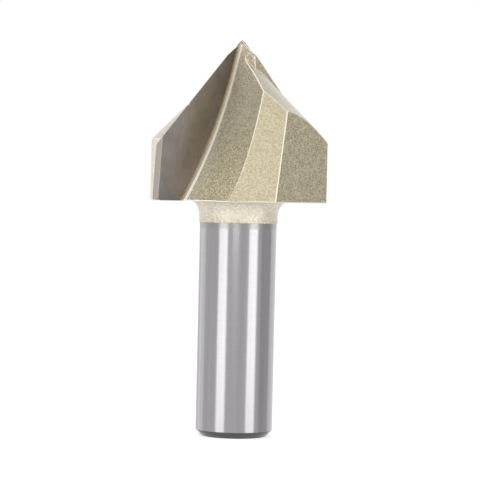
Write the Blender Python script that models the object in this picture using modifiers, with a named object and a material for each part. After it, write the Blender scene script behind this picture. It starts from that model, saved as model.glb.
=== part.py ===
# V groove router bit: one turned and milled steel body with two brazed carbide tips.
# The shank's end stands on the origin and the point is straight above it on +Z.
# Lengths are in metres and angles in radians. Depth is measured down from the point.

import math

import bmesh
import bpy
from mathutils import Matrix, Vector

# Shank, neck and head of the turned blank
SHANK_DIAMETER = 0.012
SHANK_LENGTH = 0.0333
SHANK_CHAMFER_HEIGHT = 0.0010
SHANK_CHAMFER_WIDTH = 0.0009
NECK_PROUD = 0.00013
NECK_LENGTH = 0.0033
FLARE_WIDTH = 0.00145
FLARE_HEIGHT = 0.0024
HEAD_LENGTH = 0.0252
CORE_CONE_INSET = 0.00229
CORE_SIDE_INSET = 0.00215

# Cutting circle, point and cutting edges
CUTTING_DIAMETER = 0.032
POINT_ANGLE = math.radians(90.0)
EDGE_LEAD = 0.00039
POINT_GRIND_ANGLE = math.radians(96.5)
RAKE_OFFSET = 0.00021
RAKE_SHEAR = math.radians(4.7)
NOSE_ANGLE = math.radians(108.0)
NOSE_DEPTH = 0.0004
CONE_CLEARANCE = math.radians(36.0)
SIDE_CLEARANCE = math.radians(20.0)

# Carbide tips and their brazed seats
CARBIDE_THICKNESS = 0.0015
CARBIDE_FOOT_WIDTH = 0.0049
CARBIDE_HEEL_RADIUS = 0.0006
BRAZE_GAP = 0.0003
SEAT_LAND = 0.0004
WING_DROP = 0.0001
WING_END_LEAN = math.radians(16.0)
WING_END_REACH = 0.00045
WING_END_OFFSET = 0.0009

# Gullets in front of the tips
ROOT_TOP = 0.00065
ROOT_SAG = 0.0015
ROOT_LEDGE = 0.00005
ROOT_FILLET_TOP = 0.0002
ROOT_FILLET_FOOT = 0.0004
WALL_LEAN_TOP = math.radians(0.7)
WALL_LEAN_FOOT = math.radians(36.0)
WALL_SPAN = 0.0072
WALL_HOLLOW = 0.0003

# Flats milled beside each gullet
SIDE_FLAT_DISTANCE = 0.0092
FRONT_FLAT_ANGLE = math.radians(51.2)
FRONT_FLAT_TILT = math.radians(7.4)
FRONT_FLAT_CLEARANCE = 0.00103
FRONT_FLAT_REACH = 0.0030

# Small notch ground beside the point, which bares the other tip's inner edge
NOTCH_TURN = math.radians(48.0)
NOTCH_TILT = math.radians(33.8)
NOTCH_OFFSET = 0.00020
NOTCH_DEPTH = 0.0024

# Mesh fineness and how far cutters pass the steel
TURNED_STEPS = 96
FLARE_STEPS = 6
GULLET_STEPS = 32
ARC_STEPS = 27
WALL_STEPS = 8
WALL_REACH = 0.0100
FILLET_STEPS = 4
HEEL_STEPS = 5
OVERRUN = 0.0006
PASS_LENGTH = 0.030
WEB_OVERLAP = 0.0012
MERGE_DISTANCE = 0.000002
SHARP_ANGLE = math.radians(12.0)

# Sizes worked out from the ones above
TOTAL_LENGTH = SHANK_LENGTH + NECK_LENGTH + HEAD_LENGTH
SHANK_RADIUS = SHANK_DIAMETER / 2
NECK_RADIUS = SHANK_RADIUS + NECK_PROUD
CUTTING_RADIUS = CUTTING_DIAMETER / 2
CORE_RADIUS = CUTTING_RADIUS - CORE_SIDE_INSET
CONE_SLOPE = math.tan(POINT_ANGLE / 2)
SHEAR_SLOPE = math.tan(RAKE_SHEAR)
UNDERSIDE = SHANK_LENGTH + NECK_LENGTH
HALF_STEP = math.pi / TURNED_STEPS
RAKE_BACK = Vector((0.0, math.cos(RAKE_SHEAR), math.sin(RAKE_SHEAR)))


def rake_y(depth):
    """Place of the first tip's rake plane, which leans back with the shear angle."""
    return RAKE_OFFSET + SHEAR_SLOPE * depth


def corner_depth():
    """Depth at which the slanted cutting edge reaches the cutting circle."""
    a = CONE_SLOPE ** 2 + SHEAR_SLOPE ** 2
    b = EDGE_LEAD * CONE_SLOPE + RAKE_OFFSET * SHEAR_SLOPE
    c = EDGE_LEAD ** 2 + RAKE_OFFSET ** 2 - CUTTING_RADIUS ** 2
    return (-b + math.sqrt(b ** 2 - a * c)) / a


def at_depth(x, y, depth):
    return Vector((x, y, TOTAL_LENGTH - depth))


def cone_edge_point(depth, behind=0.0):
    """Point on the slanted edge, or on its clearance face some way behind the rake face."""
    drop = behind * math.tan(CONE_CLEARANCE) * math.sqrt(1 + CONE_SLOPE ** 2)
    return at_depth(-(EDGE_LEAD + CONE_SLOPE * depth - drop), rake_y(depth) + behind, depth)


def nose_edge_point(depth, behind=0.0):
    """Point on the blunter edge next to the axis, or on its clearance face behind it."""
    slope = math.tan(NOSE_ANGLE / 2)
    drop = behind * math.tan(CONE_CLEARANCE) * math.sqrt(1 + slope ** 2)
    return at_depth(-(slope * (depth - NOSE_DEPTH) - drop), rake_y(depth) + behind, depth)


def side_edge_point(depth, behind=0.0):
    """Point on the upright edge, or on its clearance face some way behind the rake face."""
    reach = math.sqrt(CUTTING_RADIUS ** 2 - rake_y(depth) ** 2)
    drop = behind * math.tan(SIDE_CLEARANCE)
    return at_depth(-(reach - drop), rake_y(depth) + behind, depth)


def root_distance(depth):
    """Distance from the axis to the tip's inner edge, which is an arc in the rake plane."""
    foot = CUTTING_RADIUS - CARBIDE_FOOT_WIDTH
    chord = Vector((foot - ROOT_TOP, HEAD_LENGTH))
    radius = chord.length ** 2 / (8 * ROOT_SAG) + ROOT_SAG / 2
    side = Vector((chord.y, -chord.x)).normalized()
    centre = Vector((ROOT_TOP, 0.0)) + chord / 2 + side * (radius - ROOT_SAG)
    return centre.x - math.sqrt(radius ** 2 - (depth - centre.y) ** 2)


def plane_normal(first, second, third, outward):
    """Unit normal of the plane through three points, turned to the outward side."""
    normal = (second - first).cross(third - first).normalized()
    return normal if normal.dot(outward) > 0 else -normal


def collection(name):
    made = bpy.data.collections.new(name)
    bpy.context.scene.collection.children.link(made)
    return made


def material(name, color, metallic, roughness):
    made = bpy.data.materials.new(name)
    made.use_nodes = True
    shader = made.node_tree.nodes["Principled BSDF"]
    shader.inputs["Base Color"].default_value = (*color, 1.0)
    shader.inputs["Metallic"].default_value = metallic
    shader.inputs["Roughness"].default_value = roughness
    return made


def mesh_object(name, bm, group):
    """Turn a bmesh into an object of the given collection."""
    mesh = bpy.data.meshes.new(name)
    bm.to_mesh(mesh)
    bm.free()
    made = bpy.data.objects.new(name, mesh)
    group.objects.link(made)
    return made


def as_cutter(tool):
    tool.hide_render = True
    tool.display_type = "WIRE"
    return tool


def half_turned(tool, name):
    """The same tool for the opposite tooth, half a turn round the axis."""
    made = tool.copy()
    made.data = tool.data.copy()
    made.name = name
    made.data.transform(Matrix.Rotation(math.pi, 4, "Z"))
    tool.users_collection[0].objects.link(made)
    return made


def boolean(target, tool, operation):
    """Join a tool to the target, cut it away, or keep only what both share."""
    step = target.modifiers.new(f"{operation.lower()} {tool.name}", "BOOLEAN")
    step.object = tool
    step.operation = operation
    step.solver = "EXACT"


def turned(name, profile, group, start=0.0):
    """Revolve a profile of (radius, height) points, listed from top to bottom."""
    bm = bmesh.new()
    verts = [bm.verts.new((radius, 0.0, height)) for radius, height in profile]
    for upper, lower in zip(verts, verts[1:]):
        bm.edges.new((upper, lower))
    made = mesh_object(name, bm, group)
    screw = made.modifiers.new("turning", "SCREW")
    screw.axis = "Z"
    screw.steps = TURNED_STEPS
    screw.render_steps = TURNED_STEPS
    screw.use_merge_vertices = True
    screw.merge_threshold = MERGE_DISTANCE
    made.rotation_euler.z = start
    return made


def finished(part):
    """Keep the result of a part's modifiers, shaded smooth between its real edges."""
    now = bpy.context.evaluated_depsgraph_get()
    mesh = bpy.data.meshes.new_from_object(part.evaluated_get(now))
    part.modifiers.clear()
    part.data = mesh
    mesh.name = part.name
    mesh.shade_smooth()
    mesh.set_sharp_from_angle(angle=SHARP_ANGLE)


def trim(bm, point, normal):
    """Cut a convex solid along a plane, drop what lies outside and close the cut."""
    cut = bmesh.ops.bisect_plane(
        bm, geom=bm.verts[:] + bm.edges[:] + bm.faces[:], dist=MERGE_DISTANCE,
        plane_co=point, plane_no=normal, clear_outer=True)
    rim = [item for item in cut["geom_cut"] if isinstance(item, bmesh.types.BMEdge)]
    bmesh.ops.holes_fill(bm, edges=rim, sides=0)
    bmesh.ops.recalc_face_normals(bm, faces=bm.faces[:])


def blank(group):
    """Turned blank: core cone, core cylinder and shank, before the neck is grooved."""
    core_tip = (CORE_CONE_INSET - EDGE_LEAD) / CONE_SLOPE
    core_corner = core_tip + CORE_RADIUS / CONE_SLOPE
    return turned("bit_body", [
        (0.0, TOTAL_LENGTH - core_tip),
        (CORE_RADIUS, TOTAL_LENGTH - core_corner),
        (CORE_RADIUS, SHANK_LENGTH),
        (SHANK_RADIUS, SHANK_LENGTH),
        (SHANK_RADIUS, SHANK_CHAMFER_HEIGHT),
        (SHANK_RADIUS - SHANK_CHAMFER_WIDTH, 0.0),
        (0.0, 0.0),
    ], group)


def neck_groove(group):
    """Ring that turns the head's underside, the flare below it and the neck."""
    outside = CUTTING_RADIUS + OVERRUN
    bottom = SHANK_LENGTH - OVERRUN
    profile = [(outside, UNDERSIDE), (outside, bottom), (NECK_RADIUS, bottom)]
    for i in range(FLARE_STEPS + 1):
        turn = math.pi / 2 * (1 - i / FLARE_STEPS)
        profile.append((
            NECK_RADIUS + FLARE_WIDTH * (1 - math.sin(turn)),
            UNDERSIDE - FLARE_HEIGHT * (1 - math.cos(turn))))
    return as_cutter(turned("neck groove", profile + profile[:1], group, HALF_STEP))


def clearance_face(edge_point, first, last):
    """A point and the outward normal of the clearance face behind a stretch of edge."""
    start = edge_point(first)
    end = edge_point(last)
    back = edge_point(last, CARBIDE_THICKNESS)
    return end, plane_normal(start, end, back, Vector((-1, 0, 0)))


def main_clearances():
    """Clearance faces of the slanted and the upright edge, which tip and wing share."""
    corner = corner_depth()
    return [
        clearance_face(cone_edge_point, 0.0, corner),
        clearance_face(side_edge_point, corner, HEAD_LENGTH),
    ]


def wing_blank(group):
    """Steel wing that backs a tip: a slab along the rake plane with a leaning inner end."""
    bm = bmesh.new()
    bmesh.ops.create_cube(bm, size=1.0)
    lowest = Vector((-CUTTING_RADIUS, -WEB_OVERLAP, UNDERSIDE - OVERRUN))
    highest = Vector((CUTTING_RADIUS, CUTTING_RADIUS, TOTAL_LENGTH + OVERRUN))
    bmesh.ops.scale(bm, vec=highest - lowest, verts=bm.verts)
    bmesh.ops.translate(bm, vec=(lowest + highest) / 2, verts=bm.verts)
    for point, outward in main_clearances():
        trim(bm, point - outward * WING_DROP, outward)
    behind = CARBIDE_THICKNESS + BRAZE_GAP + SEAT_LAND
    trim(bm, at_depth(0.0, rake_y(0.0) + behind, 0.0), RAKE_BACK)
    end_face = Vector((math.cos(WING_END_LEAN), math.sin(WING_END_LEAN), 0.0))
    trim(bm, Vector((WING_END_REACH, WING_END_OFFSET, 0.0)), end_face)
    return as_cutter(mesh_object("wing blank", bm, group))


def gullet_section(depth):
    """Section of the gullet cutter: root fillet, hollow wall and the way back round."""
    share = min(max(depth / HEAD_LENGTH, 0.0), 1.0)
    lean = WALL_LEAN_TOP + (WALL_LEAN_FOOT - WALL_LEAN_TOP) * share ** 2
    radius = ROOT_FILLET_TOP + (ROOT_FILLET_FOOT - ROOT_FILLET_TOP) * share
    bend = 4 * WALL_HOLLOW / WALL_SPAN
    start = lean + math.atan(bend)
    tangent = radius / math.tan(math.pi / 4 + start / 2)
    corner_x = BRAZE_GAP + ROOT_LEDGE + tangent - root_distance(depth)
    corner = Vector((corner_x, rake_y(depth)))
    centre = corner - Vector((tangent, radius))
    section = []
    for i in range(FILLET_STEPS + 1):
        turn = (math.pi / 2 - start) * i / FILLET_STEPS
        section.append(centre + radius * Vector((math.sin(turn), math.cos(turn))))
    along = Vector((math.sin(lean), -math.cos(lean)))
    inward = Vector((math.cos(lean), math.sin(lean)))
    for i in range(1, WALL_STEPS + 1):
        run = WALL_REACH * i / WALL_STEPS
        section.append(corner + along * run + inward * bend * run * (1 - run / WALL_SPAN))
    section.append(section[-1] + along * PASS_LENGTH)
    section.append(corner - Vector((PASS_LENGTH, PASS_LENGTH)))
    section.append(corner - Vector((PASS_LENGTH, 0.0)))
    return section


def gullet_tool(group):
    """Form cutter for a gullet: a flat rake side and a wall that leans more as it deepens."""
    bm = bmesh.new()
    rings = []
    for i in range(GULLET_STEPS + 1):
        depth = -OVERRUN + (HEAD_LENGTH + 2 * OVERRUN) * i / GULLET_STEPS
        rings.append([bm.verts.new(at_depth(x, y, depth)) for x, y in gullet_section(depth)])
    for upper, lower in zip(rings, rings[1:]):
        for j in range(len(upper)):
            k = (j + 1) % len(upper)
            bm.faces.new((upper[j], upper[k], lower[k], lower[j]))
    bm.faces.new(rings[0])
    bm.faces.new(rings[-1])
    bmesh.ops.triangulate(bm, faces=bm.faces[:])
    bmesh.ops.recalc_face_normals(bm, faces=bm.faces[:])
    return as_cutter(mesh_object("gullet cutter", bm, group))


def flat_tool(name, point, outward, reach, below, group):
    """Milling pass whose flat face lies on a plane and ends some way below its point."""
    bm = bmesh.new()
    bmesh.ops.create_cube(bm, size=1.0)
    height = HEAD_LENGTH + OVERRUN + below
    bmesh.ops.scale(bm, vec=(reach + PASS_LENGTH, PASS_LENGTH, height), verts=bm.verts)
    centre = ((reach - PASS_LENGTH) / 2, PASS_LENGTH / 2, height / 2 - below)
    bmesh.ops.translate(bm, vec=centre, verts=bm.verts)
    side = outward.cross(Vector((0, 0, 1))).normalized()
    turn = Matrix((side, outward, side.cross(outward))).transposed().to_4x4()
    bmesh.ops.transform(bm, matrix=Matrix.Translation(point) @ turn, verts=bm.verts)
    return as_cutter(mesh_object(name, bm, group))


def side_flat_tool(group):
    """Pass square to the rake faces, which thins the head in front of the other wing."""
    point = at_depth(0.0, -SIDE_FLAT_DISTANCE, HEAD_LENGTH)
    outward = Vector((0, -1, 0))
    return flat_tool("side flat cutter", point, outward, PASS_LENGTH, OVERRUN, group)


def front_flat_tool(group):
    """Tilted pass between the gullet wall and the side flat, which runs out on the flare."""
    level = Vector((-math.sin(FRONT_FLAT_ANGLE), -math.cos(FRONT_FLAT_ANGLE), 0.0))
    outward = level * math.cos(FRONT_FLAT_TILT) + Vector((0, 0, math.sin(FRONT_FLAT_TILT)))
    distance = NECK_RADIUS + FRONT_FLAT_CLEARANCE
    point = at_depth(level.x * distance, level.y * distance, HEAD_LENGTH)
    return flat_tool("front flat cutter", point, outward, FRONT_FLAT_REACH, OVERRUN, group)


def point_notch_tool(group):
    """Short tilted pass beside the point, down to the notch's own depth."""
    level = Vector((math.cos(NOTCH_TURN), -math.sin(NOTCH_TURN), 0.0))
    outward = level * math.cos(NOTCH_TILT) + Vector((0, 0, math.sin(NOTCH_TILT)))
    distance = NOTCH_OFFSET + NOTCH_DEPTH * math.tan(NOTCH_TILT)
    point = at_depth(level.x * distance, level.y * distance, NOTCH_DEPTH)
    return flat_tool("point notch cutter", point, outward, PASS_LENGTH, 0.0, group)


def rake_plate(outline, front, back):
    """Plate parallel to the rake plane, between two distances behind it."""
    bm = bmesh.new()
    face = bm.faces.new([
        bm.verts.new(at_depth(x, rake_y(depth), depth) + RAKE_BACK * front)
        for x, depth in outline])
    grown = bmesh.ops.extrude_face_region(bm, geom=[face], use_keep_orig=True)
    moved = [item for item in grown["geom"] if isinstance(item, bmesh.types.BMVert)]
    bmesh.ops.translate(bm, vec=RAKE_BACK * (back - front), verts=moved)
    bmesh.ops.recalc_face_normals(bm, faces=bm.faces[:])
    return bm


def root_arc(shift, top, foot):
    """Points down the arc of the tip's inner edge, moved toward the axis by the shift."""
    depths = [top + (foot - top) * i / ARC_STEPS for i in range(ARC_STEPS + 1)]
    return [(shift - root_distance(depth), depth) for depth in depths]


def seat_tool(group):
    """Seat for a tip: its arc and back, each with room for the braze, open outward."""
    outline = root_arc(BRAZE_GAP, -OVERRUN, HEAD_LENGTH + OVERRUN)
    outline += [(-PASS_LENGTH, HEAD_LENGTH + OVERRUN), (-PASS_LENGTH, -OVERRUN)]
    bm = rake_plate(outline, -OVERRUN, CARBIDE_THICKNESS + BRAZE_GAP)
    return as_cutter(mesh_object("seat cutter", bm, group))


def carbide_tip(name, group):
    """Carbide plate with an arc inner edge, a rounded heel and two clearance faces."""
    corner = corner_depth()
    outer = side_edge_point(HEAD_LENGTH).x
    outline = root_arc(0.0, 0.0, HEAD_LENGTH)
    for i in range(HEEL_STEPS + 1):
        turn = math.pi / 2 * i / HEEL_STEPS
        outline.append((
            outer + CARBIDE_HEEL_RADIUS * (1 - math.sin(turn)),
            HEAD_LENGTH - CARBIDE_HEEL_RADIUS * (1 - math.cos(turn))))
    outline += [(side_edge_point(corner).x, corner), (side_edge_point(corner).x, 0.0)]
    bm = rake_plate(outline, 0.0, CARBIDE_THICKNESS)
    nose = clearance_face(nose_edge_point, 0.0, corner)
    for point, outward in [nose] + main_clearances():
        trim(bm, point, outward)
    return mesh_object(name, bm, group)


def point_cone(group):
    """Cone that the point is ground to, blunter than the cutting edges."""
    base = TOTAL_LENGTH * math.tan(POINT_GRIND_ANGLE / 2)
    profile = [(0.0, TOTAL_LENGTH), (base, 0.0), (base, -OVERRUN), (0.0, -OVERRUN)]
    return as_cutter(turned("point cone", profile, group, HALF_STEP))


def build():
    for old in list(bpy.data.objects):
        bpy.data.objects.remove(old, do_unlink=True)
    parts = collection("v_groove_router_bit")
    cutters = collection("cutters")

    steel = material("gold coated steel", (0.60, 0.53, 0.38), 1.0, 0.42)
    carbide = material("ground carbide", (0.20, 0.18, 0.17), 1.0, 0.35)

    body = blank(parts)
    tips = [carbide_tip("carbide_tip_a", parts)]
    tips.append(half_turned(tips[0], "carbide_tip_b"))
    for tip in tips:
        tip.data.materials.append(carbide)
    body.data.materials.append(steel)

    wing = wing_blank(cutters)
    boolean(body, wing, "UNION")
    boolean(body, half_turned(wing, "second wing blank"), "UNION")
    boolean(body, point_cone(cutters), "INTERSECT")
    boolean(body, neck_groove(cutters), "DIFFERENCE")
    for make_tool in (gullet_tool, seat_tool, side_flat_tool, front_flat_tool, point_notch_tool):
        tool = make_tool(cutters)
        boolean(body, tool, "DIFFERENCE")
        boolean(body, half_turned(tool, f"second {tool.name}"), "DIFFERENCE")
    for part in (body, *tips):
        finished(part)


build()
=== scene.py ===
import math

import bmesh
import bpy
from mathutils import Matrix, Vector


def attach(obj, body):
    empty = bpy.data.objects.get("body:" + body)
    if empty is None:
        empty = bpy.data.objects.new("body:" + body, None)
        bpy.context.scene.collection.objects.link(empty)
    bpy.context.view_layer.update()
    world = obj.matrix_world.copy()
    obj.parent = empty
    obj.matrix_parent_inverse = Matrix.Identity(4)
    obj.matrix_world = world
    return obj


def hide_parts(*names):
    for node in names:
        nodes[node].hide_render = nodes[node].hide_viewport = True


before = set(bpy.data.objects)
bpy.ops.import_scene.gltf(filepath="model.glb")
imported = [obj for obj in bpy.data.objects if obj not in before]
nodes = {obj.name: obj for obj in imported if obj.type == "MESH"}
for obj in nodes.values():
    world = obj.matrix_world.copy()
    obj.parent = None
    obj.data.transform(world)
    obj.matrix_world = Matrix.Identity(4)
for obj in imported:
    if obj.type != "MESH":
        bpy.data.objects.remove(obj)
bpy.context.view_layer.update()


# Head and neck. They are one with the shank: a bar of tool steel, turned to a cone, milled with
# two gullets and their flats, blasted matt, and then sprayed with a pale gold metallic coat
# that ends in a hard line where the shank starts. The mesh is the solid's own, cut off there.
SHANK_LENGTH = 0.0333
NECK_TOP = 0.0366
HEAD_TOP = 0.0618
RIM_RADIUS = 0.01385
RIM_CLEAR = 0.00006
RAKE_OFFSET = 0.00021
RAKE_SHEAR = math.radians(4.7)
SOFT_EDGE = 0.00028
FLAKES_PER_METRE = 7600.0
FLAT_WAY = (0.78, 0.63, 0.0)
END_WAY = (0.961, 0.276, 0.0)
END_LENGTH = 0.0060
BARE_LENGTH = 0.0026
UPPER_WALL = (0.0120, 0.0190)
STAIN_HEIGHT = 0.0013
ROOT_LEDGE = 0.00012
ROOT_LINE = 0.00034
ROOT_WIDTH = 0.00016
ROOT_FADE = 0.0028
WELD = 0.000002
SMOOTH_UNDER = math.radians(14.0)


def linear(hex_colour):
    """Linear colour of an sRGB hex value."""
    parts = [int(hex_colour[i:i + 2], 16) / 255 for i in (1, 3, 5)]
    return [c / 12.92 if c <= 0.04045 else ((c + 0.055) / 1.055) ** 2.4 for c in parts] + [1.0]


def add(tree, kind, links=None, **settings):
    """Add a node, set its properties, and set or link its inputs."""
    node = tree.nodes.new(kind)
    for key, value in settings.items():
        setattr(node, key, value)
    for key, value in (links or {}).items():
        if isinstance(value, bpy.types.NodeSocket):
            tree.links.new(value, node.inputs[key])
        else:
            node.inputs[key].default_value = value
    return node


def material(name, roughness, metallic=1.0):
    """New material with its tree, its shader and its Object coordinates."""
    made = bpy.data.materials.new(name)
    made.use_nodes = True
    tree = made.node_tree
    tree.nodes.clear()
    shader = add(tree, "ShaderNodeBsdfPrincipled", {"Metallic": metallic,
                                                    "Roughness": roughness})
    add(tree, "ShaderNodeOutputMaterial", {"Surface": shader.outputs["BSDF"]})
    return made, tree, shader, add(tree, "ShaderNodeTexCoord").outputs["Object"]


def rounded_edges(tree, radius, narrow):
    """Normal softened over sharp edges, and a mask that is 1 along those edges."""
    soft = add(tree, "ShaderNodeBevel", {"Radius": radius}, samples=8)
    flat = add(tree, "ShaderNodeNewGeometry").outputs["Normal"]
    same = add(tree, "ShaderNodeVectorMath", {0: soft.outputs["Normal"], 1: flat},
               operation="DOT_PRODUCT")
    mask = add(tree, "ShaderNodeMapRange", {"Value": same.outputs["Value"], "From Min": 0.998,
                                            "From Max": narrow})
    return soft.outputs["Normal"], mask.outputs["Result"]


def cut_flat(mesh, point, outward):
    """Cut a mesh along a plane, drop what lies outside and close the cut."""
    bm = bmesh.new()
    bm.from_mesh(mesh)
    bmesh.ops.remove_doubles(bm, verts=bm.verts, dist=WELD)
    cut = bmesh.ops.bisect_plane(bm, geom=bm.verts[:] + bm.edges[:] + bm.faces[:],
                                 plane_co=point, plane_no=outward, clear_outer=True)
    rim = [item for item in cut["geom_cut"] if isinstance(item, bmesh.types.BMEdge)]
    bmesh.ops.holes_fill(bm, edges=rim, sides=0)
    bmesh.ops.recalc_face_normals(bm, faces=bm.faces[:])
    bm.to_mesh(mesh)
    bm.free()


def placed(name, data=None):
    """New object in the scene for a mesh, a lamp or a camera, or with an empty mesh."""
    made = bpy.data.objects.new(name, data or bpy.data.meshes.new(name))
    bpy.context.scene.collection.objects.link(made)
    return made


def piece(name, mesh, finish, node=None):
    """Object of a finished mesh that rides on the bit, in place of a CAD node if it has one."""
    mesh.materials.clear()
    mesh.materials.append(finish)
    made = placed(name, mesh)
    if node:
        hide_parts(node)
    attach(made, "root")


coat_finish, tree, shader, place = material("sprayed gold metallic coat", 0.46)
shader.inputs["Coat Weight"].default_value = 0.9
shader.inputs["Coat Roughness"].default_value = 0.45
soft_normal, edge = rounded_edges(tree, SOFT_EDGE, 0.980)
axes = add(tree, "ShaderNodeSeparateXYZ", {0: place})
facing = add(tree, "ShaderNodeTexCoord").outputs["Normal"]
ways = add(tree, "ShaderNodeSeparateXYZ", {0: facing}).outputs

# The coat is a film of metal flakes. Each is drawn 0.13 mm wide, large enough to show, with its
# own shade and a slight tilt of its own, so the surface glitters as it turns.
flakes = add(tree, "ShaderNodeTexVoronoi", {"Vector": place, "Scale": FLAKES_PER_METRE,
                                            "Smoothness": 0.35}, feature="SMOOTH_F1")
shade = add(tree, "ShaderNodeSeparateXYZ", {0: flakes.outputs["Color"]}).outputs["X"]

# The flat beside each gullet was milled with the finest cut, and the coat lies more evenly on it.
flat_way = add(tree, "ShaderNodeVectorMath", {0: facing, 1: FLAT_WAY},
               operation="DOT_PRODUCT")
flat_way = add(tree, "ShaderNodeMath", {0: flat_way.outputs["Value"]}, operation="ABSOLUTE")
on_flat = add(tree, "ShaderNodeMath", {0: flat_way.outputs[0], 1: 0.95},
              operation="GREATER_THAN")
least = add(tree, "ShaderNodeMath", {0: on_flat.outputs[0], 1: 0.22}, operation="MULTIPLY")
most = add(tree, "ShaderNodeMath", {0: 1.0, 1: least.outputs[0]}, operation="SUBTRACT")
shade = add(tree, "ShaderNodeMapRange", {"Value": shade, "To Min": least.outputs[0],
                                         "To Max": most.outputs[0]}).outputs["Result"]
gold = add(tree, "ShaderNodeMix", {"Factor": shade, "A": linear("#84785b"),
                                   "B": linear("#d1c8aa")}, data_type="RGBA")
level = add(tree, "ShaderNodeVectorMath", {0: flakes.outputs["Color"], 1: (0.5, 0.5, 0.5)},
            operation="SUBTRACT")
tilt = add(tree, "ShaderNodeVectorMath", {0: level.outputs["Vector"]}, operation="SCALE")
tilt.inputs["Scale"].default_value = 0.02

# The turned surfaces, which are the neck, the cone and the rim, are painted paler as a painted
# highlight. The gullets' walls are painted paler toward the root and toward the point, as painted
# light.
on_neck = add(tree, "ShaderNodeMath", {0: axes.outputs["Z"], 1: NECK_TOP},
              operation="LESS_THAN")
on_cone = add(tree, "ShaderNodeMapRange", {"Value": ways["Z"], "From Min": 0.60,
                                           "From Max": 0.68})
level_place = add(tree, "ShaderNodeCombineXYZ", {0: axes.outputs["X"], 1: axes.outputs["Y"]})
radius = add(tree, "ShaderNodeVectorMath", {0: level_place.outputs[0]}, operation="LENGTH")
on_rim = add(tree, "ShaderNodeMath", {0: radius.outputs["Value"], 1: RIM_RADIUS,
                                      2: RIM_CLEAR}, operation="COMPARE")
side = add(tree, "ShaderNodeMath", {0: axes.outputs["X"]}, operation="SIGN")
turned_y = add(tree, "ShaderNodeMath", {0: axes.outputs["Y"], 1: side.outputs[0]},
               operation="MULTIPLY")
rake_y = add(tree, "ShaderNodeMath", {0: axes.outputs["Z"], 1: -math.tan(RAKE_SHEAR),
                                      2: RAKE_OFFSET + math.tan(RAKE_SHEAR) * HEAD_TOP},
             operation="MULTIPLY_ADD")
ahead = add(tree, "ShaderNodeMath", {0: rake_y.outputs[0], 1: turned_y.outputs[0]},
            operation="ADD")
on_wall = add(tree, "ShaderNodeMath", {0: ahead.outputs[0], 1: 0.0}, operation="GREATER_THAN")
# Painted light: the walls are paler toward the root.
toward_root = add(tree, "ShaderNodeMapRange", {"Value": ahead.outputs[0], "From Min": ROOT_LINE,
                                               "From Max": ROOT_FADE, "To Min": 0.28,
                                               "To Max": 0.0})
toward_root = add(tree, "ShaderNodeMath", {0: toward_root.outputs["Result"],
                                           1: on_wall.outputs[0]}, operation="MULTIPLY")
# Painted highlight: the neck and the rim are paler.
neck_part = add(tree, "ShaderNodeMath", {0: on_neck.outputs[0], 1: 0.90},
                operation="MULTIPLY")
rim_part = add(tree, "ShaderNodeMath", {0: on_rim.outputs[0], 1: 0.72},
               operation="MULTIPLY")
sideways = add(tree, "ShaderNodeMath", {0: ways["X"]}, operation="ABSOLUTE")
sideways = add(tree, "ShaderNodeMath", {0: sideways.outputs[0], 1: 0.8},
               operation="GREATER_THAN")
# Painted light: faces turned sideways are paler toward the point.
higher = add(tree, "ShaderNodeMapRange", {"Value": axes.outputs["Z"],
                                          "From Min": HEAD_TOP - UPPER_WALL[1],
                                          "From Max": HEAD_TOP - UPPER_WALL[0],
                                          "To Max": 0.26})
higher = add(tree, "ShaderNodeMath", {0: higher.outputs["Result"], 1: sideways.outputs[0]},
             operation="MULTIPLY")
painted_light = on_cone.outputs["Result"]
for part in (neck_part, rim_part, toward_root, higher):
    painted_light = add(tree, "ShaderNodeMath", {0: painted_light, 1: part.outputs[0]},
                 operation="MAXIMUM").outputs[0]
# Painted highlight and painted light: this share of the coat is mixed toward a pale colour.
paler = add(tree, "ShaderNodeMath", {0: painted_light, 1: 0.80}, operation="MULTIPLY")
pale = add(tree, "ShaderNodeMix", {"Factor": shade, "A": linear("#d2cab9"),
                                   "B": linear("#f0eade")}, data_type="RGBA")
even = add(tree, "ShaderNodeMix", {"Factor": paler.outputs[0], "A": gold.outputs["Result"],
                                   "B": pale.outputs["Result"]}, data_type="RGBA")

# On the neck the coat is blotchy, and it ran and browned where it ends above the shank.
blotches = add(tree, "ShaderNodeTexNoise", {"Vector": place, "Scale": 2300.0, "Detail": 3.0})
lower = add(tree, "ShaderNodeMapRange", {"Value": axes.outputs["Z"], "From Min": SHANK_LENGTH,
                                         "From Max": SHANK_LENGTH + STAIN_HEIGHT,
                                         "To Min": 0.42, "To Max": 0.62})
stain = add(tree, "ShaderNodeMath", {0: blotches.outputs["Fac"],
                                     1: lower.outputs["Result"]}, operation="SUBTRACT")
stain = add(tree, "ShaderNodeMapRange", {"Value": stain.outputs[0], "From Min": 0.0,
                                         "From Max": 0.14, "To Max": 0.42})
stain = add(tree, "ShaderNodeMath", {0: stain.outputs["Result"], 1: on_neck.outputs[0]},
            operation="MULTIPLY")
stained = add(tree, "ShaderNodeMix", {"Factor": stain.outputs[0], "A": even.outputs["Result"],
                                      "B": linear("#a8997a")}, data_type="RGBA")

# The head's sharp edges are painted paler: partly real wear, where the sprayed metal thins and
# the paler steel shows through it, and partly a painted highlight. A pale line along the fillet
# at each gullet's root is a painted highlight. The narrow ledge between that fillet and the tip
# is darkened to brown.
above = add(tree, "ShaderNodeMapRange", {"Value": on_neck.outputs[0], "To Min": 0.95,
                                         "To Max": 0.10})
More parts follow.
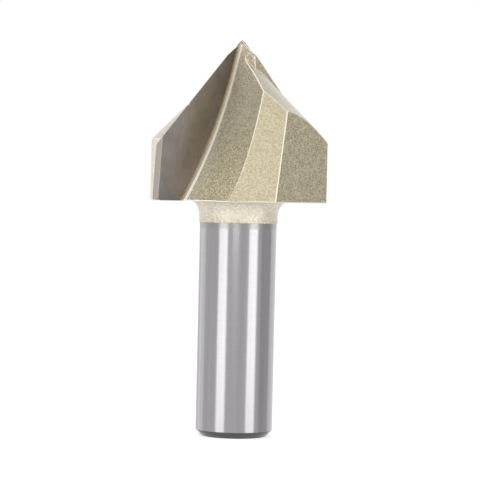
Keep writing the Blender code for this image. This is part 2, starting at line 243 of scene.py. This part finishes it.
# Painted highlight, partly real wear: the edges' share of the pale colour.
edge_highlight = add(tree, "ShaderNodeMath", {0: edge, 1: above.outputs["Result"]},
                operation="MULTIPLY")
on_ledge = add(tree, "ShaderNodeMath", {0: ahead.outputs[0], 1: 0.0, 2: ROOT_LEDGE},
               operation="COMPARE")
on_ledge = add(tree, "ShaderNodeMath", {0: on_ledge.outputs[0], 1: above.outputs["Result"]},
               operation="MULTIPLY")
edge_highlight = add(tree, "ShaderNodeMath", {0: edge_highlight.outputs[0], 1: on_ledge.outputs[0]},
                operation="SUBTRACT", use_clamp=True)
# Painted highlight: a pale line along the root fillet.
in_root = add(tree, "ShaderNodeMath", {0: ahead.outputs[0], 1: ROOT_LINE, 2: ROOT_WIDTH},
              operation="COMPARE")
root_part = add(tree, "ShaderNodeMath", {0: in_root.outputs[0],
                                         1: above.outputs["Result"]}, operation="MULTIPLY")
edge_highlight = add(tree, "ShaderNodeMath", {0: edge_highlight.outputs[0], 1: root_part.outputs[0]},
                operation="MAXIMUM")
# The narrow ledge is darkened to brown.
ledge_darkened = add(tree, "ShaderNodeMath", {0: on_ledge.outputs[0], 1: 0.75}, operation="MULTIPLY")
ledge_darkened = add(tree, "ShaderNodeMix", {"Factor": ledge_darkened.outputs[0], "A": stained.outputs["Result"],
                                     "B": linear("#8b7c5c")}, data_type="RGBA")
coat = add(tree, "ShaderNodeMix", {"Factor": edge_highlight.outputs[0], "A": ledge_darkened.outputs["Result"],
                                   "B": linear("#f4eee2")}, data_type="RGBA")

# The end of each wing beside the point was dressed by hand, so its coat is mottled with brown.
end_top = add(tree, "ShaderNodeMath", {0: axes.outputs["Z"], 1: HEAD_TOP - END_LENGTH},
              operation="GREATER_THAN")
end_way = add(tree, "ShaderNodeVectorMath", {0: facing, 1: END_WAY}, operation="DOT_PRODUCT")
end_way = add(tree, "ShaderNodeMath", {0: end_way.outputs["Value"]}, operation="ABSOLUTE")
on_end = add(tree, "ShaderNodeMath", {0: end_way.outputs[0], 1: 0.985}, operation="GREATER_THAN")
on_end = add(tree, "ShaderNodeMath", {0: on_end.outputs[0], 1: end_top.outputs[0]},
             operation="MULTIPLY")
mottle = add(tree, "ShaderNodeMapRange", {"Value": blotches.outputs["Fac"], "From Min": 0.42,
                                          "From Max": 0.52, "To Min": 0.25, "To Max": 0.85})
mottle = add(tree, "ShaderNodeMath", {0: mottle.outputs["Result"], 1: on_end.outputs[0]},
             operation="MULTIPLY")
mottled = add(tree, "ShaderNodeMix", {"Factor": mottle.outputs[0], "A": coat.outputs["Result"],
                                      "B": linear("#857963")}, data_type="RGBA")

# The last grinding pass over the point cut through the coat and left dark bare steel there.
near_point = add(tree, "ShaderNodeMapRange", {"Value": axes.outputs["Z"],
                                              "From Min": HEAD_TOP - BARE_LENGTH,
                                              "From Max": HEAD_TOP - BARE_LENGTH + 0.0006})
ground_off = add(tree, "ShaderNodeMath", {0: near_point.outputs["Result"],
                                          1: on_cone.outputs["Result"]}, operation="MULTIPLY")
bare = add(tree, "ShaderNodeMix", {"Factor": ground_off.outputs[0],
                                   "A": mottled.outputs["Result"], "B": linear("#6b625a")},
           data_type="RGBA")
tree.links.new(bare.outputs["Result"], shader.inputs["Base Color"])

rough = add(tree, "ShaderNodeMapRange", {"Value": on_neck.outputs[0], "To Min": 0.46,
                                         "To Max": 0.62})
tree.links.new(rough.outputs["Result"], shader.inputs["Roughness"])

calm = add(tree, "ShaderNodeMath", {0: 1.0, 1: paler.outputs[0]}, operation="SUBTRACT")
glitter = add(tree, "ShaderNodeVectorMath", {0: tilt.outputs["Vector"]}, operation="SCALE")
tree.links.new(calm.outputs[0], glitter.inputs["Scale"])
leaning = add(tree, "ShaderNodeVectorMath", {0: soft_normal, 1: glitter.outputs["Vector"]},
              operation="ADD")
leaning = add(tree, "ShaderNodeVectorMath", {0: leaning.outputs["Vector"]},
              operation="NORMALIZE")
tree.links.new(leaning.outputs["Vector"], shader.inputs["Normal"])

head_mesh = nodes["bit_body"].data.copy()
for stored in ("custom_normal", "sharp_face", "sharp_edge"):
    head_mesh.attributes.remove(head_mesh.attributes[stored])
cut_flat(head_mesh, Vector((0.0, 0.0, SHANK_LENGTH)), Vector((0.0, 0.0, -1.0)))
head_mesh.shade_smooth()
head_mesh.set_sharp_from_angle(angle=SMOOTH_UNDER)
piece("head_and_neck", head_mesh, coat_finish, "bit_body")


# Shank. The lower end of the same bar, hardened and then ground bright to fit a collet, so it
# mirrors the room. Its end is chamfered, and the chamfer, which faces down, is painted dark as
# painted shade.
SHANK_RADIUS = 0.006
CHAMFER_HEIGHT = 0.0010
CHAMFER_WIDTH = 0.0009
CORNER_ROUND = 0.00008
SHANK_SEGMENTS = 192
MIST_HEIGHT = 0.0011

shank_finish, tree, shader, place = material("ground bright steel", 0.20)
shader.inputs["Anisotropic"].default_value = 0.6
shader.inputs["Anisotropic Rotation"].default_value = 0.25
around = add(tree, "ShaderNodeTangent", direction_type="RADIAL", axis="Z")
tree.links.new(around.outputs["Tangent"], shader.inputs["Tangent"])

# Centreless grinding leaves fine rings round the shank, drawn 0.1 mm apart to show.
stretch = add(tree, "ShaderNodeMapping", {"Vector": place, "Scale": (0.03, 0.03, 1.0)})
rings = add(tree, "ShaderNodeTexNoise", {"Vector": stretch.outputs["Vector"],
                                         "Scale": 6000.0, "Detail": 3.0})
steel = add(tree, "ShaderNodeMix", {"Factor": rings.outputs["Fac"], "A": linear("#9b999c"),
                                    "B": linear("#a3a1a4")}, data_type="RGBA")

# Collets have rubbed faint streaks along it.
along = add(tree, "ShaderNodeMapping", {"Vector": place, "Scale": (1.0, 1.0, 0.02)})
rubs = add(tree, "ShaderNodeTexNoise", {"Vector": along.outputs["Vector"], "Scale": 900.0,
                                        "Detail": 3.0})
rub = add(tree, "ShaderNodeMapRange", {"Value": rubs.outputs["Fac"], "From Min": 0.35,
                                       "From Max": 0.65, "To Max": 0.22})
rubbed = add(tree, "ShaderNodeMix", {"Factor": rub.outputs["Result"],
                                     "A": steel.outputs["Result"], "B": linear("#7c787a")},
             data_type="RGBA")

# Here and there a chip has left a bright speck.
knocks = add(tree, "ShaderNodeTexVoronoi", {"Vector": place, "Scale": 230.0})
knock = add(tree, "ShaderNodeMath", {0: knocks.outputs["Distance"], 1: 0.05},
            operation="LESS_THAN")
flecked = add(tree, "ShaderNodeMix", {"Factor": knock.outputs[0], "A": rubbed.outputs["Result"],
                                      "B": linear("#d8d6d8")}, data_type="RGBA")

# A mist of the coat dulls the last millimetre below the neck.
upright = add(tree, "ShaderNodeSeparateXYZ", {0: place}).outputs["Z"]
mist = add(tree, "ShaderNodeMapRange", {"Value": upright, "From Min": SHANK_LENGTH - MIST_HEIGHT,
                                        "From Max": SHANK_LENGTH - MIST_HEIGHT + 0.0004})
dull = add(tree, "ShaderNodeMapRange", {"Value": mist.outputs["Result"], "To Min": 0.20,
                                        "To Max": 0.30})
tree.links.new(dull.outputs["Result"], shader.inputs["Roughness"])
misted = add(tree, "ShaderNodeMix", {"Factor": mist.outputs["Result"],
                                     "A": flecked.outputs["Result"], "B": linear("#989493")},
             data_type="RGBA")
# Painted shade: the chamfer at the bar's end is painted dark.
chamfer_shade = add(tree, "ShaderNodeMath", {0: upright, 1: CHAMFER_HEIGHT}, operation="LESS_THAN")
bare = add(tree, "ShaderNodeMix", {"Factor": chamfer_shade.outputs[0], "A": misted.outputs["Result"],
                                   "B": linear("#5b5859")}, data_type="RGBA")
tree.links.new(bare.outputs["Result"], shader.inputs["Base Color"])
relief = add(tree, "ShaderNodeBump", {"Height": rings.outputs["Fac"], "Strength": 0.03,
                                      "Distance": 0.00003})
tree.links.new(relief.outputs["Normal"], shader.inputs["Normal"])

# The bar is turned by a node tree: its outline, drawn as distances in from the ground surface and
# down from the neck, is carried round a ring. Only the two corners of the chamfer are rounded.
turned = bpy.data.node_groups.new("turned bar", "GeometryNodeTree")
turned.is_modifier = True
turned.interface.new_socket("Bar", in_out="OUTPUT", socket_type="NodeSocketGeometry")
bar_inputs = {"Length": SHANK_LENGTH, "Radius": SHANK_RADIUS, "Chamfer Height": CHAMFER_HEIGHT,
              "Chamfer Width": CHAMFER_WIDTH, "Corner Round": CORNER_ROUND,
              "Segments": SHANK_SEGMENTS, "Finish": shank_finish}
bar_kinds = {float: "NodeSocketFloat", int: "NodeSocketInt",
             bpy.types.Material: "NodeSocketMaterial"}
bar_sockets = {name: turned.interface.new_socket(name, in_out="INPUT",
                                                 socket_type=bar_kinds[type(value)])
               for name, value in bar_inputs.items()}
given = add(turned, "NodeGroupInput").outputs
upper = add(turned, "ShaderNodeMath", {0: given["Length"], 1: given["Chamfer Height"]},
            operation="SUBTRACT").outputs[0]
index = add(turned, "GeometryNodeInputIndex").outputs["Index"]
corner = add(turned, "GeometryNodeIndexSwitch", {"Index": index}, data_type="VECTOR")
outline = [{"X": given["Radius"]}, {}, {"Y": upper},
           {"X": given["Chamfer Width"], "Y": given["Length"]},
           {"X": given["Radius"], "Y": given["Length"]}]
for number, ways in enumerate(outline):
    if number > 1:
        corner.index_switch_items.new()
    spot = add(turned, "ShaderNodeCombineXYZ", ways)
    turned.links.new(spot.outputs["Vector"], corner.inputs[str(number)])
dots = add(turned, "GeometryNodeMeshLine", {"Count": len(outline)})
drawn = add(turned, "GeometryNodeSetPosition", {"Geometry": dots.outputs["Mesh"],
                                                "Position": corner.outputs["Output"]})
drawn = add(turned, "GeometryNodeMeshToCurve", {"Mesh": drawn.outputs["Geometry"]})
below = add(turned, "ShaderNodeMath", {0: index, 1: 1.5}, operation="GREATER_THAN")
rounding = add(turned, "ShaderNodeMath", {0: below.outputs[0], 1: given["Corner Round"]},
               operation="MULTIPLY")
drawn = add(turned, "GeometryNodeFilletCurve", {"Curve": drawn.outputs["Curve"], "Count": 2,
                                                "Radius": rounding.outputs[0]}, mode="POLY")
ring = add(turned, "GeometryNodeCurvePrimitiveCircle", {"Resolution": given["Segments"],
                                                        "Radius": given["Radius"]})
ring = add(turned, "GeometryNodeReverseCurve", {"Curve": ring.outputs["Curve"]})
raised = add(turned, "ShaderNodeCombineXYZ", {"Z": given["Length"]})
ring = add(turned, "GeometryNodeTransform", {"Geometry": ring.outputs["Curve"],
                                             "Translation": raised.outputs["Vector"]})
bar = add(turned, "GeometryNodeCurveToMesh", {"Curve": ring.outputs["Geometry"],
                                              "Profile Curve": drawn.outputs["Curve"]})
bar = add(turned, "GeometryNodeMergeByDistance", {"Geometry": bar.outputs["Mesh"],
                                                  "Distance": WELD})
bar = add(turned, "GeometryNodeFlipFaces", {"Mesh": bar.outputs["Geometry"]})
bar = add(turned, "GeometryNodeRealizeInstances", {"Geometry": bar.outputs["Mesh"]})
bar = add(turned, "GeometryNodeSetMaterial", {"Geometry": bar.outputs["Geometry"],
                                              "Material": given["Finish"]})
add(turned, "NodeGroupOutput", {"Bar": bar.outputs["Geometry"]})

blank = placed("blank")
turning = blank.modifiers.new("turning", "NODES")
turning.node_group = turned
for name, value in bar_inputs.items():
    turning[bar_sockets[name].identifier] = value
shank_mesh = bpy.data.meshes.new_from_object(
    blank.evaluated_get(bpy.context.evaluated_depsgraph_get()))
bpy.data.objects.remove(blank, do_unlink=True)
shank_mesh.shade_smooth()
shank_mesh.set_sharp_from_angle(angle=SMOOTH_UNDER)
piece("shank", shank_mesh, shank_finish, "bit_body")


# Carbide tips. Two sintered plates of cemented carbide, brazed into seats in the wings and then
# ground on the rake face and on both clearance faces, which leaves them dark and satin.
HEAD_LENGTH = 0.0252
TIP_ROOT_TOP = 0.00065
TIP_ROOT_FOOT = 0.0111
TIP_ROOT_SAG = 0.0015
WALL_SHADE_WIDTH = 0.0066
NICK = (-0.01077, 0.00106, 0.05141)
NICK_RADIUS = 0.00022


def root_arc():
    """Centre, as distance from the axis and depth, and radius of a tip's arc on its inner side."""
    chord = Vector((TIP_ROOT_FOOT - TIP_ROOT_TOP, HEAD_LENGTH))
    radius = chord.length ** 2 / (8 * TIP_ROOT_SAG) + TIP_ROOT_SAG / 2
    side = Vector((chord.y, -chord.x)).normalized()
    return Vector((TIP_ROOT_TOP, 0.0)) + chord / 2 + side * (radius - TIP_ROOT_SAG), radius


carbide_finish, tree, shader, place = material("ground cemented carbide", 0.21)
soft_normal, edge = rounded_edges(tree, 0.00008, 0.85)
strokes = add(tree, "ShaderNodeMapping", {"Vector": place, "Scale": (1.0, 1.0, 0.04)})
marks = add(tree, "ShaderNodeTexNoise", {"Vector": strokes.outputs["Vector"],
                                         "Scale": 7000.0, "Detail": 3.0})
cloud = add(tree, "ShaderNodeTexNoise", {"Vector": place, "Scale": 420.0, "Detail": 4.0})
both = add(tree, "ShaderNodeMath", {0: marks.outputs["Fac"], 1: cloud.outputs["Fac"]},
           operation="ADD")
both = add(tree, "ShaderNodeMapRange", {"Value": both.outputs[0], "From Min": 0.75,
                                        "From Max": 1.25})
sheen = add(tree, "ShaderNodeMapRange", {"Value": both.outputs["Result"], "To Min": 0.18,
                                         "To Max": 0.25})
tree.links.new(sheen.outputs["Result"], shader.inputs["Roughness"])
ground = add(tree, "ShaderNodeMix", {"Factor": both.outputs["Result"], "A": linear("#8e8783"),
                                     "B": linear("#a19a95")}, data_type="RGBA")

# Painted shade and painted reflection: the rake face is darkened brown toward the arc beside the
# gullet's wall, darkest along the braze and more toward the point.
centre, radius = root_arc()
axes = add(tree, "ShaderNodeSeparateXYZ", {0: place})
off_axis = add(tree, "ShaderNodeMath", {0: axes.outputs["X"]}, operation="ABSOLUTE")
flat_place = add(tree, "ShaderNodeCombineXYZ", {0: off_axis.outputs[0],
                                                2: axes.outputs["Z"]})
reach = add(tree, "ShaderNodeVectorMath", {0: flat_place.outputs[0],
                                           1: (centre.x, 0.0, HEAD_TOP - centre.y)},
            operation="DISTANCE")
strength = add(tree, "ShaderNodeMapRange", {"Value": axes.outputs["Z"],
                                            "From Min": HEAD_TOP - HEAD_LENGTH,
                                            "From Max": HEAD_TOP, "To Min": 0.50,
                                            "To Max": 0.85})
# Painted shade: darker toward the gullet's wall.
painted_wall_shade = add(tree, "ShaderNodeMapRange", {"Value": reach.outputs["Value"],
                                        "From Min": radius - WALL_SHADE_WIDTH,
                                        "From Max": radius,
                                        "To Max": strength.outputs["Result"]})
wall_shaded = add(tree, "ShaderNodeMix", {"Factor": painted_wall_shade.outputs["Result"],
                                     "A": ground.outputs["Result"], "B": linear("#5d5355")},
             data_type="RGBA")

# The clearance faces take one flat colour of their own, set a little darker as painted shade, and
# the painted shade of the rake face is left off them.
facing = add(tree, "ShaderNodeTexCoord").outputs["Normal"]
facing = add(tree, "ShaderNodeSeparateXYZ", {0: facing}).outputs["Y"]
facing = add(tree, "ShaderNodeMath", {0: facing}, operation="ABSOLUTE")
off_rake = add(tree, "ShaderNodeMath", {0: facing.outputs[0], 1: 0.9}, operation="LESS_THAN")
faces = add(tree, "ShaderNodeMix", {"Factor": off_rake.outputs[0], "A": wall_shaded.outputs["Result"],
                                    "B": linear("#8d8580")}, data_type="RGBA")
# Painted highlight: the tip's sharp edges are painted pale where they catch the light.
edge_highlight = add(tree, "ShaderNodeMath", {0: edge, 1: 0.6}, operation="MULTIPLY")
carbide = add(tree, "ShaderNodeMix", {"Factor": edge_highlight.outputs[0],
                                      "A": faces.outputs["Result"], "B": linear("#d0cacc")},
              data_type="RGBA")

# One cutting edge has a small nick, painted near-white as a painted glint where the break catches
# the light.
from_nick = add(tree, "ShaderNodeVectorMath", {0: place, 1: NICK}, operation="DISTANCE")
broken = add(tree, "ShaderNodeMath", {0: from_nick.outputs["Value"], 1: NICK_RADIUS},
             operation="LESS_THAN")
nicked = add(tree, "ShaderNodeMix", {"Factor": broken.outputs[0], "A": carbide.outputs["Result"],
                                     "B": linear("#f4f2f2")}, data_type="RGBA")
tree.links.new(nicked.outputs["Result"], shader.inputs["Base Color"])
tree.links.new(soft_normal, shader.inputs["Normal"])
for name in ("carbide_tip_a", "carbide_tip_b"):
    nodes[name].data.materials.clear()
    nodes[name].data.materials.append(carbide_finish)


# Braze. Silver braze fills the gap between each tip and its seat, along the arc and behind the
# plate. It is a cast film a little below the ground faces, and took some of the sprayed coat.
CUTTING_RADIUS = 0.016
EDGE_LEAD = 0.00039
POINT_GRIND_ANGLE = math.radians(96.5)
CONE_CLEARANCE = math.radians(36.0)
CONE_FOOT = 0.03
SLANT_SPAN = 0.010
UPRIGHT_SPAN = (0.016, 0.025)
NOTCH_TURN = math.radians(48.0)
NOTCH_TILT = math.radians(33.8)
NOTCH_OFFSET = 0.00020
NOTCH_DEPTH = 0.0024
SIDE_CLEARANCE = math.radians(20.0)
TIP_THICKNESS = 0.0015
FILM = 0.0003
FILM_CLEAR = 0.000005
FILM_RECESS = 0.00004
REACH = 0.020
ARC_STEPS = 60
CONE_STEPS = 96


def on_rake(x, depth, behind=0.0):
    """Point of the first tip's rake plane, or some way behind it, at a depth below the point."""
    y = RAKE_OFFSET + math.tan(RAKE_SHEAR) * depth
    back = Vector((0.0, math.cos(RAKE_SHEAR), math.sin(RAKE_SHEAR)))
    return Vector((x, y, HEAD_TOP - depth)) + back * behind


def tip_root(depth):
    """Distance from the axis to the arc that bounds the tip on its inner side."""
    centre, radius = root_arc()
    return centre.x - math.sqrt(radius ** 2 - (depth - centre.y) ** 2)


def mesh_of(bm, name):
    """New mesh of what has been built, which is then let go."""
    mesh = bpy.data.meshes.new(name)
    bm.to_mesh(mesh)
    bm.free()
    return mesh


def braze_block(name, shift, front, back, top, foot):
    """Plate along the rake plane, bounded by the arc moved by the shift and open outward."""
    bm = bmesh.new()
    depths = [top + (foot - top) * i / ARC_STEPS for i in range(ARC_STEPS + 1)]
    outline = [(shift - tip_root(depth), depth) for depth in depths]
    outline += [(-REACH, foot), (-REACH, top)]
    face = bm.faces.new([bm.verts.new(on_rake(x, depth, front)) for x, depth in outline])
    grown = bmesh.ops.extrude_face_region(bm, geom=[face], use_keep_orig=True)
    moved = [item for item in grown["geom"] if isinstance(item, bmesh.types.BMVert)]
    back_way = on_rake(0.0, 0.0, back) - on_rake(0.0, 0.0, front)
    bmesh.ops.translate(bm, vec=back_way, verts=moved)
    bmesh.ops.recalc_face_normals(bm, faces=bm.faces[:])
    return placed(name, mesh_of(bm, name))


def clearance_planes():
    """A point and an outward normal for the slanted and the upright clearance face."""
    drop = TIP_THICKNESS * math.tan(CONE_CLEARANCE) * math.sqrt(2)
    top, low = on_rake(-EDGE_LEAD, 0.0), on_rake(-EDGE_LEAD - SLANT_SPAN, SLANT_SPAN)
    behind = low + Vector((drop, TIP_THICKNESS, 0.0))
    yield top, -(low - top).cross(behind - top).normalized()
    drop = TIP_THICKNESS * math.tan(SIDE_CLEARANCE)
    upper, lower = [on_rake(-math.sqrt(CUTTING_RADIUS ** 2 - on_rake(0.0, depth).y ** 2), depth)
                    for depth in UPRIGHT_SPAN]
    behind = lower + Vector((drop, TIP_THICKNESS, 0.0))
    yield lower, -(lower - upper).cross(behind - upper).normalized()


def boolean(target, tool, operation):
    """Cut a target by a tool, or keep only what both share."""
    step = target.modifiers.new(operation, "BOOLEAN")
    step.object = tool
    step.operation = operation
    step.solver = "EXACT"


bm = bmesh.new()
cone_height = HEAD_TOP - CONE_FOOT
bmesh.ops.create_cone(bm, cap_ends=True, segments=CONE_STEPS, radius2=0.0, depth=cone_height,
                      radius1=cone_height * math.tan(POINT_GRIND_ANGLE / 2),
                      matrix=Matrix.Translation((0, 0, HEAD_TOP - cone_height / 2
                                                 - FILM_RECESS)))
cone = placed("ground point", mesh_of(bm, "ground point"))

film = braze_block("braze_a", FILM - FILM_CLEAR, FILM_RECESS,
                   TIP_THICKNESS + FILM - FILM_CLEAR, 0.0, HEAD_LENGTH - FILM_RECESS)
for point, outward in clearance_planes():
    cut_flat(film.data, point - outward * FILM_RECESS, outward)
plate = braze_block("tip space", FILM_CLEAR, -FILM, TIP_THICKNESS + FILM_CLEAR,
                    -FILM, HEAD_LENGTH + FILM)
bm = bmesh.new()
bmesh.ops.create_cube(bm, size=1.0)
level = Vector((-math.cos(NOTCH_TURN), math.sin(NOTCH_TURN), 0.0))
outward = level * math.cos(NOTCH_TILT) + Vector((0, 0, math.sin(NOTCH_TILT)))
across = outward.cross(Vector((0, 0, 1))).normalized()
turn = Matrix((across, outward, across.cross(outward))).transposed().to_4x4()
distance = NOTCH_OFFSET + NOTCH_DEPTH * math.tan(NOTCH_TILT)
foot = Vector((level.x * distance, level.y * distance, HEAD_TOP - NOTCH_DEPTH))
bmesh.ops.scale(bm, vec=(REACH, REACH, REACH), verts=bm.verts)
bmesh.ops.translate(bm, vec=(0.0, REACH / 2 - FILM_RECESS, REACH / 2 - FILM_RECESS),
                    verts=bm.verts)
bmesh.ops.transform(bm, matrix=Matrix.Translation(foot) @ turn, verts=bm.verts)
notch = placed("notch", mesh_of(bm, "notch"))
boolean(film, cone, "INTERSECT")
boolean(film, notch, "DIFFERENCE")
boolean(film, plate, "DIFFERENCE")
film_mesh = bpy.data.meshes.new_from_object(
    film.evaluated_get(bpy.context.evaluated_depsgraph_get()))
for tool in (film, plate, cone, notch):
    bpy.data.objects.remove(tool, do_unlink=True)

# The braze froze in soft ripples and is duller than the coat.
braze_finish, tree, shader, place = material("cast silver braze", 0.45)
ripples = add(tree, "ShaderNodeTexNoise", {"Vector": place, "Scale": 2200.0, "Detail": 2.0})
cast = add(tree, "ShaderNodeMix", {"Factor": ripples.outputs["Fac"], "A": linear("#85775b"),
                                   "B": linear("#aa9c7d")}, data_type="RGBA")
tree.links.new(cast.outputs["Result"], shader.inputs["Base Color"])
relief = add(tree, "ShaderNodeBump", {"Height": ripples.outputs["Fac"], "Strength": 0.4,
                                      "Distance": 0.00005})
tree.links.new(relief.outputs["Normal"], shader.inputs["Normal"])
for name, turn in (("braze_a", 0.0), ("braze_b", math.pi)):
    mesh = film_mesh.copy()
    mesh.transform(Matrix.Rotation(turn, 4, "Z"))
    piece(name, mesh, braze_finish)


# Floor. A plain pale sheet that runs back out of sight and takes the bit's soft shadow. The steel
# doesn't mirror it, so that the lamps' bands run down the shank to its end.
FLOOR_REACH = 3.0
FLOOR_CLEAR = 0.00002


def seen_rays(tree):
    """The ray kinds, and a value that is 1 for the rays that show a surface or a mirror of it."""
    ray = add(tree, "ShaderNodeLightPath").outputs
    seen = add(tree, "ShaderNodeMath", {0: ray["Is Camera Ray"], 1: ray["Is Glossy Ray"]},
               operation="ADD", use_clamp=True)
    seen = add(tree, "ShaderNodeMath", {0: seen.outputs[0], 1: ray["Is Transmission Ray"]},
               operation="ADD", use_clamp=True)
    return ray, seen.outputs[0]


bm = bmesh.new()
bmesh.ops.create_grid(bm, x_segments=2, y_segments=2, size=FLOOR_REACH)
floor = placed("floor", mesh_of(bm, "floor"))
floor.location.z = -FLOOR_CLEAR
floor.visible_glossy = False
floor.visible_shadow = False
paper, tree, shader, _ = material("matt white paper", 0.9, 0.0)
shader.inputs["Base Color"].default_value = linear("#e6e6e6")
_, seen = seen_rays(tree)
glow = add(tree, "ShaderNodeMath", {0: seen, 1: 0.68}, operation="MULTIPLY")
shader.inputs["Emission Color"].default_value = (1.0, 1.0, 1.0, 1.0)
tree.links.new(glow.outputs[0], shader.inputs["Emission Strength"])
floor.data.materials.append(paper)


# Studio. A white room that is dimmer overhead, and around the bit tall strip lamps, two ahead and
# two behind, that draw the bright bands down the shank. A small box lights the flats from the
# front, a large one lights them from above, and a lit card at the right is mirrored by the side.
VIEW_AZIMUTH = math.radians(-48.0)
LAMPS_AIM = 0.035
CARD_SIZE = (0.40, 0.70)
world = bpy.data.worlds.new("white room")
bpy.context.scene.world = world
world.use_nodes = True
tree = world.node_tree
tree.nodes.clear()
ray, seen = seen_rays(tree)
level = add(tree, "ShaderNodeMix", {0: seen, "A": 0.5, "B": 1.0})
way = add(tree, "ShaderNodeTexCoord").outputs["Generated"]
way = add(tree, "ShaderNodeSeparateXYZ", {0: way}).outputs["Z"]
ceiling = add(tree, "ShaderNodeMapRange", {"Value": way, "From Min": 0.52, "From Max": 0.74,
                                           "To Min": 1.0, "To Max": 0.58})
dimmed = add(tree, "ShaderNodeMath", {0: level.outputs["Result"],
                                      1: ceiling.outputs["Result"]}, operation="MULTIPLY")
shown = add(tree, "ShaderNodeMath", {0: dimmed.outputs[0], 1: ray["Is Camera Ray"]},
            operation="MAXIMUM")
room = add(tree, "ShaderNodeBackground", {"Strength": shown.outputs[0]})
room.inputs["Color"].default_value = (1.0, 1.0, 1.0, 1.0)
add(tree, "ShaderNodeOutputWorld", {"Surface": room.outputs["Background"]})


def toward(made, turn, lift, distance):
    """Place an object some way from the bit, turned and lifted from the line of sight."""
    turn = VIEW_AZIMUTH + math.radians(turn)
    lift = math.radians(lift)
    away = Vector((math.sin(turn) * math.cos(lift), -math.cos(turn) * math.cos(lift),
                   math.sin(lift)))
    made.location = Vector((0.0, 0.0, LAMPS_AIM)) + away * distance
    made.rotation_euler = away.to_track_quat("Z", "Y").to_euler()


def softbox(name, turn, lift, distance, width, tall, power):
    """Rectangular lamp that faces the bit."""
    lamp = bpy.data.lights.new(name, "AREA")
    lamp.shape = "RECTANGLE"
    lamp.size = width
    lamp.size_y = tall
    lamp.energy = power
    toward(placed(name, lamp), turn, lift, distance)


softbox("left strip", -43.5, -4.0, 0.60, 0.29, 0.40, 0.70)
softbox("right strip", 48.5, -4.0, 0.60, 0.29, 0.40, 0.70)
softbox("rear left strip", -126.0, -4.0, 0.60, 0.34, 0.40, 0.17)
softbox("rear right strip", 134.0, -4.0, 0.60, 0.34, 0.40, 0.10)
softbox("front box", -6.0, 9.0, 0.60, 0.20, 0.12, 0.30)
softbox("top box", 0.0, 85.0, 0.70, 0.50, 0.50, 1.2)

card_finish, tree, shader, _ = material("lit card", 0.9, 0.0)
shader.inputs["Base Color"].default_value = (0.0, 0.0, 0.0, 1.0)
shader.inputs["Specular IOR Level"].default_value = 0.0
shader.inputs["Emission Color"].default_value = (1.0, 1.0, 1.0, 1.0)
shader.inputs["Emission Strength"].default_value = 0.72
bm = bmesh.new()
bmesh.ops.create_grid(bm, x_segments=1, y_segments=1, size=0.5)
bmesh.ops.scale(bm, vec=(*CARD_SIZE, 1.0), verts=bm.verts)
card = placed("lit card", mesh_of(bm, "lit card"))
card.data.materials.append(card_finish)
card.visible_camera = False
card.visible_diffuse = False
card.visible_shadow = False
toward(card, 98.0, 10.0, 0.50)


# Camera. It stands level with the head, looking down a little, at the photograph's angle.
CAMERA_DISTANCE = 0.3594
PIXELS_PER_RADIAN = 2300.0
PICTURE = 480.0
AIM_HEIGHT = 0.0306
AIM_ASIDE = 0.00033
EYE_HEIGHT = 0.0395
LEAN = math.radians(1.3)
camera_data = bpy.data.cameras.new("camera")
camera_data.sensor_width = 36.0
camera_data.lens = camera_data.sensor_width * PIXELS_PER_RADIAN / PICTURE
camera_data.clip_start = 0.01
camera_data.clip_end = 10.0
camera = placed("camera", camera_data)
out_way = Vector((math.sin(VIEW_AZIMUTH), -math.cos(VIEW_AZIMUTH), 0.0))
right_way = Vector((math.cos(VIEW_AZIMUTH), math.sin(VIEW_AZIMUTH), 0.0))
aim = right_way * AIM_ASIDE + Vector((0.0, 0.0, AIM_HEIGHT))
eye = out_way * CAMERA_DISTANCE + right_way * AIM_ASIDE + Vector((0.0, 0.0, EYE_HEIGHT))
camera.location = eye
camera.rotation_euler = ((eye - aim).to_track_quat("Z", "Y").to_matrix()
                         @ Matrix.Rotation(LEAN, 3, "Z")).to_euler()
bpy.context.scene.camera = camera

bpy.context.scene.view_settings.view_transform = "Standard"
